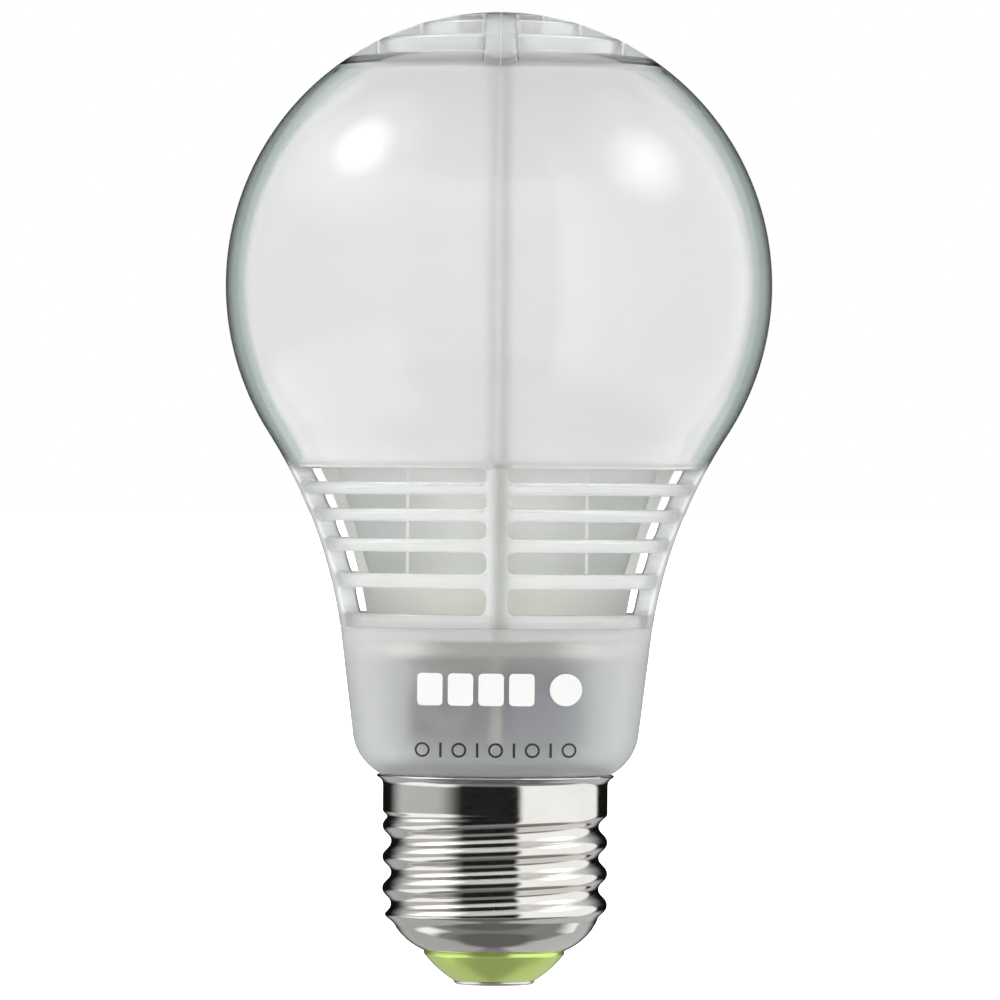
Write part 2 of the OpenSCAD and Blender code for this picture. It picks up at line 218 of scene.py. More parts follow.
def noise(tree, scale, detail=3.0, stretch=None):
    """Noise in the object's own metres, so it holds still on the object."""
    place = add_node(tree, "ShaderNodeTexCoord")
    texture = add_node(tree, "ShaderNodeTexNoise", {"Scale": scale, "Detail": detail})
    if stretch:
        mapping = add_node(tree, "ShaderNodeMapping", {"Scale": stretch})
        tree.links.new(place.outputs["Object"], mapping.inputs["Vector"])
        tree.links.new(mapping.outputs["Vector"], texture.inputs["Vector"])
    else:
        tree.links.new(place.outputs["Object"], texture.inputs["Vector"])
    return texture.outputs["Fac"]


def ramp(tree, source, stops):
    """Colour ramp from a list of (position, colour)."""
    item = add_node(tree, "ShaderNodeValToRGB")
    elements = item.color_ramp.elements
    while len(elements) < len(stops):
        elements.new(0.5)
    for element, (position, colour) in zip(elements, stops):
        element.position = position
        element.color = (*colour, 1) if len(colour) == 3 else colour
    tree.links.new(source, item.inputs["Fac"])
    return item.outputs["Color"]


def spread(tree, source, low, high):
    """Maps noise onto a range of values."""
    item = add_node(tree, "ShaderNodeMapRange",
                    {"From Min": 0.3, "From Max": 0.7, "To Min": low, "To Max": high})
    tree.links.new(source, item.inputs["Value"])
    return item.outputs["Result"]


def bump(tree, shader, source, distance, strength=1.0):
    item = add_node(tree, "ShaderNodeBump", {"Distance": distance, "Strength": strength})
    tree.links.new(source, item.inputs["Height"])
    tree.links.new(item.outputs["Normal"], shader.inputs["Normal"])


def grained(name, colour, roughness, metallic=0.0, grain=900, depth=2e-5, tint=0.06, coat=0.0):
    """A material whose colour, roughness and surface vary with two sizes of noise."""
    material, tree, shader = new_material(name)
    coarse = noise(tree, grain * 0.12)
    fine = noise(tree, grain, 4)
    darker = tuple(c * (1 - tint) for c in colour)
    lighter = tuple(min(c * (1 + tint), 1.0) for c in colour)
    tree.links.new(ramp(tree, coarse, [(0.3, darker), (0.7, lighter)]), shader.inputs["Base Color"])
    tree.links.new(spread(tree, fine, roughness * 0.8, min(roughness * 1.2, 1.0)),
                   shader.inputs["Roughness"])
    bump(tree, shader, fine, depth)
    shader.inputs["Metallic"].default_value = metallic
    shader.inputs["Coat Weight"].default_value = coat
    return material


def height_mask(tree, low, high):
    """0 below the low height and 1 above the high one, both in metres."""
    place = add_node(tree, "ShaderNodeTexCoord")
    split = add_node(tree, "ShaderNodeSeparateXYZ")
    tree.links.new(place.outputs["Object"], split.inputs["Vector"])
    item = add_node(tree, "ShaderNodeMapRange", {"From Min": low, "From Max": high},
                    interpolation_type="SMOOTHSTEP")
    tree.links.new(split.outputs["Z"], item.inputs["Value"])
    return item.outputs["Result"]


def blend(tree, factor, low, high):
    """Goes from the low to the high value or socket as factor goes from 0 to 1."""
    item = add_node(tree, "ShaderNodeMix")
    tree.links.new(factor, item.inputs["Factor"])
    for socket, value in ((item.inputs["A"], low), (item.inputs["B"], high)):
        if isinstance(value, (int, float)):
            socket.default_value = value
        else:
            tree.links.new(value, socket)
    return item.outputs["Result"]


def near_plane(tree, axis, middle, reach):
    """0 nearer than reach[0] to an upright plane across the axis, 1 beyond reach[1], in metres."""
    place = add_node(tree, "ShaderNodeTexCoord")
    split = add_node(tree, "ShaderNodeSeparateXYZ")
    tree.links.new(place.outputs["Object"], split.inputs["Vector"])
    away = add_node(tree, "ShaderNodeMath", {1: -middle}, operation="ADD")
    tree.links.new(split.outputs[axis], away.inputs[0])
    gap = add_node(tree, "ShaderNodeMath", operation="ABSOLUTE")
    tree.links.new(away.outputs[0], gap.inputs[0])
    item = add_node(tree, "ShaderNodeMapRange", {"From Min": reach[0], "From Max": reach[1]},
                    interpolation_type="SMOOTHSTEP")
    tree.links.new(gap.outputs[0], item.inputs["Value"])
    return item.outputs["Result"]


def blend_colour(tree, factor, low, high):
    """The same as blend, between two colours."""
    item = add_node(tree, "ShaderNodeMix", data_type="RGBA")
    tree.links.new(factor, item.inputs["Factor"])
    sockets = [i for i in item.inputs if i.type == "RGBA"]
    for socket, value in zip(sockets, (low, high)):
        if isinstance(value, tuple):
            socket.default_value = (*value, 1)
        else:
            tree.links.new(value, socket)
    return next(o for o in item.outputs if o.type == "RGBA")


def clear_plastic():
    """Clear plastic, frosted round the neck slots and lightly over the top vents."""
    material, tree, shader = new_material("clear_plastic")
    fine = noise(tree, 2600, 5)
    above_slots = height_mask(tree, 0.0592, 0.0612)
    at_vents = height_mask(tree, 0.1062, 0.1078)
    # a soft grey line painted along the seam where the two halves meet, a painted shade, darker on the
    # frosted part
    seam = near_plane(tree, "X", 0.0004, (0.0, 0.0016))
    seam_shade = blend_colour(tree, above_slots, (0.64, 0.65, 0.635), (0.90, 0.905, 0.90))
    # painted shade: the shell is greyer in the ring below the slots
    ring = height_mask(tree, 0.0428, 0.0434)
    body = blend_colour(tree, ring, (0.85, 0.86, 0.855), (0.965, 0.98, 0.978))
    tree.links.new(blend_colour(tree, seam, seam_shade, body), shader.inputs["Base Color"])
    shader.inputs["IOR"].default_value = 1.58
    side = near_plane(tree, "Y", 0.0, (0.0045, 0.0065))
    milky = blend(tree, side, 0.45, 0.75)
    tree.links.new(blend(tree, at_vents, blend(tree, above_slots, milky, 1.0), 0.80),
                   shader.inputs["Transmission Weight"])
    glassy = blend(tree, above_slots, spread(tree, fine, 0.2, 0.24),
                   spread(tree, noise(tree, 420), 0.05, 0.07))
    tree.links.new(blend(tree, at_vents, glassy, spread(tree, fine, 0.10, 0.13)), shader.inputs["Roughness"])
    return material


def lobe_plastic():
    """Milky plastic with a lighter foot, which is painted light, and a thin grey band near the top, which is
    painted shade.

    Both are fitted to the photograph, and their cause isn't known."""
    material, tree, shader = new_material("frosted_lobe")
    colour = (0.888, 0.874, 0.863)
    roughness = 0.55
    coarse = noise(tree, 60)
    fine = noise(tree, 3000, 5)
    low = tuple(c * 0.985 for c in colour)
    plain = ramp(tree, coarse, [(0.35, low), (0.65, colour)])
    # painted light: the foot is made lighter than the rest
    foot = tuple(min(c * 1.105, 0.985) for c in colour)
    body = blend_colour(tree, height_mask(tree, 0.060, 0.075), foot, plain)
    # painted shade: a thin grey band near the top
    grey = tuple(c * 0.5 for c in colour)
    band = blend_colour(tree, height_mask(tree, 0.1046, 0.1051), body, grey)
    shade = blend_colour(tree, height_mask(tree, 0.1059, 0.1064), band, body)
    tree.links.new(shade, shader.inputs["Base Color"])
    tree.links.new(spread(tree, fine, roughness * 0.85, roughness * 1.1), shader.inputs["Roughness"])
    bump(tree, shader, fine, 2e-5, 0.6)
    return material


def neck_plastic():
    """Frosted clear plastic that blurs what is behind it; its colours are fitted to the photograph, with
    painted light near the top and painted shade towards the bottom.
    """
    material, tree, shader = new_material("frosted_neck")
    plain = ramp(tree, noise(tree, 70, 2), [(0.1, (0.862, 0.862, 0.864)), (0.9, (0.902, 0.895, 0.897))])
    # painted light: lighter near the top
    plain = blend_colour(tree, height_mask(tree, 0.0365, 0.0405), plain, (0.974, 0.971, 0.968))
    tree.links.new(spread(tree, noise(tree, 1500, 2), 0.42, 0.44), shader.inputs["Roughness"])
    # painted shade: darker towards the bottom, where the plastic also lets less light through
    low_shade_and_milk_mask = height_mask(tree, 0.0255, 0.0305)
    tree.links.new(blend_colour(tree, low_shade_and_milk_mask, (0.80, 0.815, 0.815), plain), shader.inputs["Base Color"])
    tree.links.new(blend(tree, low_shade_and_milk_mask, 0.80, 0.91), shader.inputs["Transmission Weight"])
    shader.inputs["IOR"].default_value = 1.3
    return material


def nickel():
    material, tree, shader = new_material("nickel_plate")
    rings = noise(tree, 900, 3, (1.0, 1.0, 9.0))
    stain = noise(tree, 120, 4)
    tree.links.new(ramp(tree, stain, [(0.3, (0.66, 0.645, 0.61)), (0.7, (0.73, 0.72, 0.69))]),
                   shader.inputs["Base Color"])
    tree.links.new(spread(tree, rings, 0.06, 0.14), shader.inputs["Roughness"])
    bump(tree, shader, noise(tree, 3200, 2), 3e-6, 0.6)
    shader.inputs["Metallic"].default_value = 1.0
    return material


def shade_parts(material):
    """The tree, the shader and the colour socket of a grained material, to shade it further."""
    tree = material.node_tree
    shader = next(n for n in tree.nodes if n.type == "BSDF_PRINCIPLED")
    return tree, shader, shader.inputs["Base Color"].links[0].from_socket


def light_board():
    """White-masked board with a pale upright line on each wing; its painted light and shade, paler towards
    the top and greyer towards the outer edges, are fitted to the photograph.
    """
    material = grained("light_board", (0.84, 0.85, 0.83), 0.42, tint=0.02)
    tree, shader, plain = shade_parts(material)
    place = add_node(tree, "ShaderNodeTexCoord")
    flat = add_node(tree, "ShaderNodeVectorMath", {1: (1, 1, 0)}, operation="MULTIPLY")
    tree.links.new(place.outputs["Object"], flat.inputs[0])
    reach = add_node(tree, "ShaderNodeVectorMath", operation="LENGTH")
    tree.links.new(flat.outputs[0], reach.inputs[0])
    line = add_node(tree, "ShaderNodeMath", {1: 0.0104, 2: 0.00018}, operation="COMPARE")
    tree.links.new(reach.outputs["Value"], line.inputs[0])
    # painted light: paler towards the top in the middle of each wing
    middle = blend_colour(tree, height_mask(tree, 0.050, 0.058), plain, (0.99, 0.99, 0.98))
    # painted shade: greyer towards the outer edges, lightening towards the top
    edge = blend_colour(tree, height_mask(tree, 0.048, 0.053), (0.60, 0.62, 0.595), (0.69, 0.71, 0.685))
    edge = blend_colour(tree, height_mask(tree, 0.056, 0.0595), edge, (0.92, 0.93, 0.915))
    board = blend_colour(tree, near_plane(tree, "X", 0.0, (0.003, 0.012)), middle, edge)
    colour = blend_colour(tree, line.outputs[0], board, (0.99, 0.99, 0.98))
    tree.links.new(colour, shader.inputs["Base Color"])
    return material


def glazed(name, colour, roughness, metallic):
    """A smooth, even glaze with only a slight drift in colour and gloss."""
    material, tree, shader = new_material(name)
    darker = tuple(c * 0.97 for c in colour)
    drift = ramp(tree, noise(tree, 160, 2), [(0.2, darker), (0.8, colour)])
    gloss = spread(tree, noise(tree, 220, 2), roughness * 0.94, roughness * 1.06)
    tree.links.new(drift, shader.inputs["Base Color"])
    tree.links.new(gloss, shader.inputs["Roughness"])
    shader.inputs["Metallic"].default_value = metallic
    return material


def painted_light_top(material, low, high, colour):
    """Makes a grained material paler with height, a painted light that softens the dark outline seen through
    the neck.

    This is fitted to the photograph; the real parts' colours aren't known."""
    tree, shader, plain = shade_parts(material)
    paler = blend_colour(tree, height_mask(tree, low, high), plain, colour)
    tree.links.new(paler, shader.inputs["Base Color"])
    return material


def carrier_plastic():
    """Off-white plastic with painted shade: grey low at the sides and dark low in the middle, as fitted to
    the photograph.
    """
    material = grained("beige_carrier", (0.925, 0.94, 0.885), 0.5, tint=0.02)
    tree, shader, plain = shade_parts(material)
    # painted shade: greyer low down towards the sides
    side_shade = blend_colour(tree, near_plane(tree, "X", 0.0, (0.004, 0.015)), plain, (0.735, 0.745, 0.705))
    plain = blend_colour(tree, height_mask(tree, 0.0455, 0.047), side_shade, plain)
    # painted shade: dark low down in the middle
    low = height_mask(tree, 0.0400, 0.0425)
    aside = near_plane(tree, "X", 0.0, (0.005, 0.011))
    unshaded = add_node(tree, "ShaderNodeMath", operation="MAXIMUM")
    tree.links.new(low, unshaded.inputs[0])
    tree.links.new(aside, unshaded.inputs[1])
    colour = blend_colour(tree, unshaded.outputs[0], (0.24, 0.24, 0.20), plain)
    tree.links.new(colour, shader.inputs["Base Color"])
    return material


mat_clear = clear_plastic()
mat_lobe = lobe_plastic()
mat_neck = neck_plastic()
mat_nickel = nickel()
mat_green = glazed("green_insulator", (0.60, 0.76, 0.22), 0.24, 0.8)
mat_contact = grained("tinned_contact", (0.74, 0.73, 0.70), 0.28, metallic=1.0, depth=1e-5)

# ---------------------------------------------------------------- clear shell

CORNER_STEPS = 5
MID_STEPS = 40
UPRIGHT_STEPS = 2
SPREAD_ROWS = 2
FLARE_RINGS, GLOBE_RINGS = 12, 70
GRID_R = 21.0
front_phi = math.asin((POST_HALF + SLOT_CORNER) / GRID_R)
side_phi = math.asin((SIDE_HALF + SLOT_CORNER) / GRID_R)
phi_grid = ([front_phi * k / CORNER_STEPS for k in range(CORNER_STEPS)]
            + [lerp(front_phi, math.pi / 2 - side_phi, k / MID_STEPS) for k in range(MID_STEPS + 1)]
            + [math.pi / 2 - side_phi * k / CORNER_STEPS for k in range(CORNER_STEPS - 1, -1, -1)])


def polar(r, phi, z):
    """A point in the front right quarter: phi runs from the front to the right."""
    return (r * math.sin(phi), -r * math.cos(phi), z)


def opening_loop(low, high, corner):
    """Descriptors (end, offset, v) of a rounded opening, in the order of the cell's border."""
    def bend(end, sign, start, finish):
        out = []
        for k in range(CORNER_STEPS):
            a = math.radians(lerp(start, finish, k / CORNER_STEPS))
            v = low + corner - corner * math.sin(a) if sign < 0 else high - corner + corner * math.sin(a)
            out.append((end, corner * (1 - math.cos(a)), v))
        return out

    bottom = bend("front", -1, 45, 90)
    bottom += [("mid", k / MID_STEPS, low) for k in range(MID_STEPS)]
    bottom += bend("side", -1, 90, 45)
    right = bend("side", -1, 45, 0)
    right += [("side", 0.0, lerp(low + corner, high - corner, k / UPRIGHT_STEPS))
              for k in range(UPRIGHT_STEPS)]
    right += bend("side", 1, 0, 45)
    top = bend("side", 1, 45, 90)
    top += [("mid", 1 - k / MID_STEPS, high) for k in range(MID_STEPS)]
    top += bend("front", 1, 90, 45)
    left = bend("front", 1, 45, 0)
    left += [("front", 0.0, lerp(high - corner, low + corner, k / UPRIGHT_STEPS))
             for k in range(UPRIGHT_STEPS)]
    left += bend("front", -1, 0, 45)
    return bottom + right + top + left


def border_loop(low, high):
    """(phi, v) around a cell, in step with opening_loop."""
    across = len(phi_grid) - 1
    up = 2 * CORNER_STEPS + UPRIGHT_STEPS
    points = [(phi_grid[k], low) for k in range(across)]
    points += [(math.pi / 2, lerp(low, high, k / up)) for k in range(up)]
    points += [(phi_grid[across - k], high) for k in range(across)]
    points += [(0.0, lerp(high, low, k / up)) for k in range(up)]
    return points


def descriptor_phi(descriptor, r, halves, corner, grow):
    """Phi of a point of an opening; halves are the half widths of its front and its side post."""
    end, offset, _ = descriptor
    front, side = (half - grow for half in halves)
    if end == "front":
        return math.asin((front + offset) / r)
    if end == "side":
        return math.pi / 2 - math.asin((side + offset) / r)
    return lerp(math.asin((front + corner) / r), math.pi / 2 - math.asin((side + corner) / r), offset)


def slot_wall(v, depth):
    """Radius and height in the wall at a neck slot: v is the height, and the cuts run level."""
    return lerp(outline_r(v), outline_r(v, WALL), depth), v


def vent_wall(v, depth):
    """Radius and height in the wall at a top vent: v is the radius, and the cuts run upright."""
    return v, lerp(top_z(v), top_z(v, WALL), depth)


def add_cell(patch, wall, cell, hole, halves, corner, fillet):
    """One cell of the shell with its rounded opening, from its outer to its inner face."""
    border = border_loop(*cell)
    hole_low, hole_high = hole

    def opening(grow, depth):
        bend = corner + grow
        found = []
        for d in opening_loop(hole_low - grow, hole_high + grow, bend):
            r, z = wall(d[2], depth)
            phi = descriptor_phi(d, r, halves, bend, grow)
            found.append((phi, d[2], polar(r, phi, z)))
        return found

    def face_rows(depth):
        inner = opening(fillet, depth)
        found = []
        for k in range(SPREAD_ROWS):
            t = k / SPREAD_ROWS
            points = []
            for (phi, v), (hole_phi, hole_v, _) in zip(border, inner):
                r, z = wall(lerp(v, hole_v, t), depth)
                points.append(polar(r, lerp(phi, hole_phi, t), z))
            found.append(patch.loop(points))
        return found

    outer = face_rows(0.0)
    rows = list(outer)
    steps = 4
    deep = fillet / WALL
    for k in range(steps + 1):
        a = math.radians(90 * k / steps)
        rim = opening(fillet * (1 - math.sin(a)), deep * (1 - math.cos(a)))
        rows.append(patch.loop([p for _, _, p in rim]))
    for k in range(steps + 1):
        a = math.radians(90 * k / steps)
        rim = opening(fillet * (1 - math.cos(a)), 1 - deep * (1 - math.sin(a)))
        rows.append(patch.loop([p for _, _, p in rim]))
    inner = face_rows(1.0)
    rows += inner[::-1]
    patch.strips(rows, closed=True)
    up = 2 * CORNER_STEPS + UPRIGHT_STEPS
    across = len(phi_grid) - 1
    left = list(range(2 * across + up, 2 * across + 2 * up)) + [0]
    for i, j in zip(left, left[1:]):
        patch.faces.append((outer[0][j], outer[0][i], inner[0][i], inner[0][j]))


def profile_rings(inset):
    """Profile from the slots up to the vents."""
    low = SLOT_EDGES[-1]
    turn = flare_high_z(inset)
    heights = [lerp(low, turn, k / FLARE_RINGS) for k in range(FLARE_RINGS)]
    rings = [(outline_r(z, inset), z) for z in heights]
    radius = GLOBE_R - inset
    start = math.asin((turn - GLOBE_Z) / radius)
    end = math.acos(VENT_EDGES[-1] / radius)
    angles = [lerp(start, end, k / GLOBE_RINGS) for k in range(GLOBE_RINGS + 1)]
    rings += [(radius * math.cos(a), GLOBE_Z + radius * math.sin(a)) for a in angles]
    return rings


def shell_half():
    quarter = Patch()
    for cell, hole in zip(zip(SLOT_EDGES, SLOT_EDGES[1:]), SLOT_ROWS):
        corner = min(SLOT_CORNER, (hole[1] - hole[0]) / 2 - 0.03)
        add_cell(quarter, slot_wall, cell, hole, (POST_HALF, SIDE_HALF), corner, SLOT_FILLET)
    for cell, hole in zip(zip(VENT_EDGES, VENT_EDGES[1:]), VENTS):
        add_cell(quarter, vent_wall, cell, hole, (RIB_HALF, RIB_HALF), VENT_CORNER, VENT_FILLET)
    # plain rings between the slots and the vents, and the disc at the top
    outer_rows, inner_rows = [], []
    for rows, inset in ((outer_rows, 0.0), (inner_rows, WALL)):
        for r, z in profile_rings(inset):
            rows.append(quarter.loop([polar(r, phi, z) for phi in phi_grid]))
    quarter.strips(outer_rows)
    quarter.strips(inner_rows)
    cap_outer, cap_inner = [], []
    for rows, inset in ((cap_outer, 0.0), (cap_inner, WALL)):
        for k in range(7):
            r = VENT_EDGES[0] * (1 - k / 6)
            rows.append(quarter.loop([polar(r, phi, top_z(r, inset)) for phi in phi_grid]))
    quarter.strips(cap_outer)
    quarter.strips(cap_inner)
    for outers, inners in ((outer_rows, inner_rows), (cap_outer, cap_inner)):
        for a, b, c, d in zip(outers, outers[1:], inners[1:], inners):
            quarter.faces.append((a[0], b[0], c[0], d[0]))
    # tongue that goes inside the neck
    foot = [(outline_r(SPLIT_Z), SPLIT_Z), (outline_r(SPLIT_Z, TONGUE_INSET), SPLIT_Z),
            (outline_r(TONGUE_Z + TONGUE_CHAMFER, TONGUE_INSET), TONGUE_Z + TONGUE_CHAMFER),
            (outline_r(TONGUE_Z, TONGUE_INSET + TONGUE_CHAMFER), TONGUE_Z),
            (outline_r(TONGUE_Z, WALL), TONGUE_Z), (outline_r(SPLIT_Z, WALL), SPLIT_Z)]
    foot_rows = [quarter.loop([polar(r, phi, z) for phi in phi_grid]) for r, z in foot]
    quarter.strips(foot_rows)
    quarter.faces.append(tuple(row[0] for row in foot_rows))
    half = quarter.mirrored(1)
    half.verts = [(max(x, SEAM), y, z) for x, y, z in half.verts]
    return half


right = shell_half()
left = Patch()
left.verts = [(-x, y, z) for x, y, z in right.verts]
left.faces = [tuple(reversed(f)) for f in right.faces]
make_piece("clear_shell_left", left.verts, left.faces, mat_clear, "shell_left")
make_piece("clear_shell_right", right.verts, right.faces, mat_clear, "shell_right")

# ---------------------------------------------------------------- frosted lobes

lobe_low, lobe_high = (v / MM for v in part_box("lobe_front_right"))
CHANNEL = lobe_low.x
LOBE_INSET = WALL + 0.3
EDGE_R = 0.9
SEAM_EDGE_R = 0.5
LOBE_WALL = 1.0
INNER_EDGE_R = 0.5
PORT_X, PORT_Y, PORT_R, PORT_EDGE_R = 10.0, -10.0, 1.6, 0.2


def lobe_section(z, inset, deep=0.0):
    """Outline of a quarter lobe at a height, moved in by inset, with rounded corners."""
    radius = outline_r(z, LOBE_INSET + deep) - inset
    wall = CHANNEL + deep + inset
    q = max(EDGE_R - inset * 0.5, 0.35)
    bend = SEAM_EDGE_R
    reach = math.sqrt((radius - bend) ** 2 - (wall + bend) ** 2)
    lean = math.atan2(wall + bend, reach)
    steps = 6
    # round the inner corner, out along one flat wall, round the outside and back along the other
    inner_corner = [(wall + q - q * math.cos(a), -(wall + q - q * math.sin(a)), z)
                    for a in (math.radians(90 * k / steps) for k in range(steps + 1))]
    flat = [(lerp(wall + q, reach, k / 18), -wall, z) for k in range(1, 18)]
    outer_corner = [(reach + bend * math.sin(a), -(wall + bend) + bend * math.cos(a), z)
                    for a in (lerp(0, math.pi / 2 + lean, k / steps) for k in range(steps + 1))]
    sweep = [(radius * math.cos(a), -radius * math.sin(a), z)
             for a in (lerp(lean, math.pi / 2 - lean, k / 56) for k in range(1, 56))]
    back = [(-y, -x, z) for x, y, z in reversed(flat + outer_corner)]
    return inner_corner + flat + outer_corner + sweep + back


def lobe_rows(low, high, edge, levels):
    """Heights and insets from the bottom bend, up the wall and round the top bend."""
    steps = 6
    angles = [math.radians(90 * k / steps) for k in range(steps + 1)]
    rows = [(low + edge * (1 - math.sin(a)), edge * (1 - math.cos(a))) for a in reversed(angles)]
    rows += [(lerp(low + edge, high - edge, k / levels), 0.0) for k in range(1, levels)]
    rows += [(high - edge * (1 - math.sin(a)), edge * (1 - math.cos(a))) for a in angles]
    return rows


def lobe_patch():
    """A hollow quarter lobe with the round port in its floor, as one closed surface."""
    patch = Patch()
    low, high = lobe_low.z, lobe_high.z
    outer = [patch.loop(lobe_section(z, inset)) for z, inset in lobe_rows(low, high, EDGE_R, 72)]
    inner = [patch.loop(lobe_section(z, inset, LOBE_WALL))
             for z, inset in lobe_rows(low + LOBE_WALL, high - LOBE_WALL, INNER_EDGE_R, 36)]
    patch.strips(outer, closed=True)
    patch.strips(inner, closed=True)
    # the roof, outside and inside
    for loop in (outer[-1], inner[-1]):
        points = [patch.verts[i] for i in loop]
        centre = (sum(p[0] for p in points) / len(points), sum(p[1] for p in points) / len(points))
        last = loop
        for scale in (0.75, 0.5, 0.25, 0.08):
            ring = patch.loop([(lerp(centre[0], x, scale), lerp(centre[1], y, scale), z)
                               for x, y, z in points])
            patch.strip(last, ring, closed=True)
            last = ring
        patch.faces.append(tuple(last))
    # the floor, down and up to the port's rounded edges
    rims = []
    for loop, inward in ((outer[0], 1), (inner[0], -1)):
        points = [patch.verts[i] for i in loop]
        angles = [math.atan2(y - PORT_Y, x - PORT_X) for x, y, _ in points]
        level = points[0][2]
        last = loop
        for scale in (0.75, 0.5, 0.25, 0.0):
            reach = PORT_R + PORT_EDGE_R
            ring = patch.loop([(lerp(PORT_X + reach * math.cos(a), x, scale),
                                lerp(PORT_Y + reach * math.sin(a), y, scale), level)
                               for a, (x, y, _) in zip(angles, points)])
            patch.strip(last, ring, closed=True)
            last = ring
        for k in range(1, 5):
            bend = math.radians(90 * k / 4)
            reach = PORT_R + PORT_EDGE_R * (1 - math.sin(bend))
            z = level + inward * PORT_EDGE_R * (1 - math.cos(bend))
            ring = patch.loop([(PORT_X + reach * math.cos(a), PORT_Y + reach * math.sin(a), z)
                               for a in angles])
            patch.strip(last, ring, closed=True)
            last = ring
        rims.append(last)
    patch.strip(rims[0], rims[1], closed=True)
    return patch


lobe = lobe_patch()
for name, sx, sy in (("front_right", 1, 1), ("front_left", -1, 1),
                     ("back_right", 1, -1), ("back_left", -1, -1)):
    placed = [(x * sx, y * sy, z) for x, y, z in lobe.verts]
    make_piece("frosted_" + name, placed, lobe.faces, mat_lobe, "lobe_" + name)

# ---------------------------------------------------------------- spines between the lobes

SPINE_GAP, SPINE_HOLLOW, SPINE_BACK = 0.02, 0.42, 2.29


def spine_section(z):
    """Outline at a height: a shallow hollow face that fills the groove between two lobes' rounded edges."""
    face = outline_r(z, LOBE_INSET)
    middle = CHANNEL + SEAM_EDGE_R
    bend = SEAM_EDGE_R + SPINE_GAP
    outline = []
    across, turn = 16, 6
    reach = middle - 0.04
    for step in range(across + 1):
        x = lerp(-reach, reach, step / across)
        dip = SPINE_HOLLOW * (0.5 + 0.5 * math.cos(math.pi * x / reach))
        outline.append((x, dip - face, z))
    for k in range(1, turn + 1):
        a = math.radians(lerp(6, 90, k / turn))
        outline.append((middle - bend * math.sin(a), SEAM_EDGE_R - bend * math.cos(a) + 0.03 - face, z))
    side = CHANNEL - SPINE_GAP
    outline += [(side, SPINE_BACK - 0.2 - face, z), (side - 0.2, SPINE_BACK - face, z)]
    outline += [(-x, y, h) for x, y, h in reversed(outline[across + 1:])]
    return outline


def spine_patch():
    """Upright frosted strip at the front, between the two front lobes."""
    patch = Patch()
    low, high = lobe_low.z + 0.3, lobe_high.z - 1.0
    levels = 96
    loops = [patch.loop(spine_section(lerp(low, high, k / levels))) for k in range(levels + 1)]
    patch.strips(loops, closed=True)
    patch.faces.append(tuple(loops[0]))
    patch.faces.append(tuple(loops[-1]))
    return patch


spine = spine_patch()
for name, (c, s) in (("front", (1, 0)), ("right", (0, 1)), ("back", (-1, 0)), ("left", (0, -1))):
    turned = [(x * c - y * s, x * s + y * c, z) for x, y, z in spine.verts]
    make_piece("frosted_spine_" + name, turned, spine.faces, mat_lobe, "spine_" + name)

# ---------------------------------------------------------------- frosted neck

NECK_BASE, FOOT_R = 24.3, 12.9
CORNER_R = 6.0
CORNER_Z = 29.0
SPIGOT_R, SPIGOT_LOW = 12.45, 20.2
SLEEVE_R, SLEEVE_LOW, BORE_R = 11.35, 10.6, 10.05
corner_cr = cone_r(CORNER_Z) - CORNER_R * taper_out[0]
corner_cz = CORNER_Z - CORNER_R * taper_out[1]


def neck_rings():
    """(radius, height) down the outside, round the spigot and sleeve, and up the inside."""
    rings = [(cone_r(SPLIT_Z - 0.12), SPLIT_Z - 0.12)]
    outside = [lerp(SPLIT_Z - 0.3, CORNER_Z, k / 16) for k in range(16)]
    rings += [(cone_r(z), z) for z in outside]
    end = -math.degrees(math.asin((corner_cz - NECK_BASE - 0.15) / CORNER_R))
    rings += arc(corner_cr, corner_cz, CORNER_R, -7, end, 20)
    rings += [(FOOT_R, NECK_BASE), (SPIGOT_R, NECK_BASE), (SPIGOT_R, SPIGOT_LOW), (SLEEVE_R, SPIGOT_LOW),
              (SLEEVE_R, SLEEVE_LOW), (BORE_R, SLEEVE_LOW), (BORE_R, NECK_BASE + WALL)]
    inner_r = CORNER_R - WALL
    inner_end = -math.degrees(math.asin((corner_cz - NECK_BASE - WALL) / inner_r))
    rings += arc(corner_cr, corner_cz, inner_r, inner_end, -7, 14)
    inside = [lerp(CORNER_Z + 0.5, TONGUE_Z - 0.1, k / 10) for k in range(1, 11)]
    rings += [(cone_r(z, WALL), z) for z in inside]
    rings += [(cone_r(TONGUE_Z - 0.1, TONGUE_INSET - 0.05), TONGUE_Z - 0.1),
              (outline_r(SPLIT_Z - 0.05, TONGUE_INSET - 0.05), SPLIT_Z - 0.05),
              (cone_r(SPLIT_Z - 0.05, 0.15), SPLIT_Z - 0.05)]
    return rings


neck = lathe(neck_rings(), 256)
make_piece("frosted_neck", neck.verts, neck.faces, mat_neck, "neck_housing")

# ---------------------------------------------------------------- generic prints on the neck

mat_white_print = grained("white_print", (0.62, 0.62, 0.61), 0.45, grain=2400, depth=2e-6, tint=0.02)
mat_black_print = grained("black_print", (0.02, 0.02, 0.022), 0.45, grain=2400, depth=2e-6, tint=0.1)
PRINT_RISE, PRINT_SINK = 0.035, 0.02


def neck_outer_r(z):
    if z >= CORNER_Z:
        return cone_r(z)
    return corner_cr + math.sqrt(CORNER_R ** 2 - (z - corner_cz) ** 2)


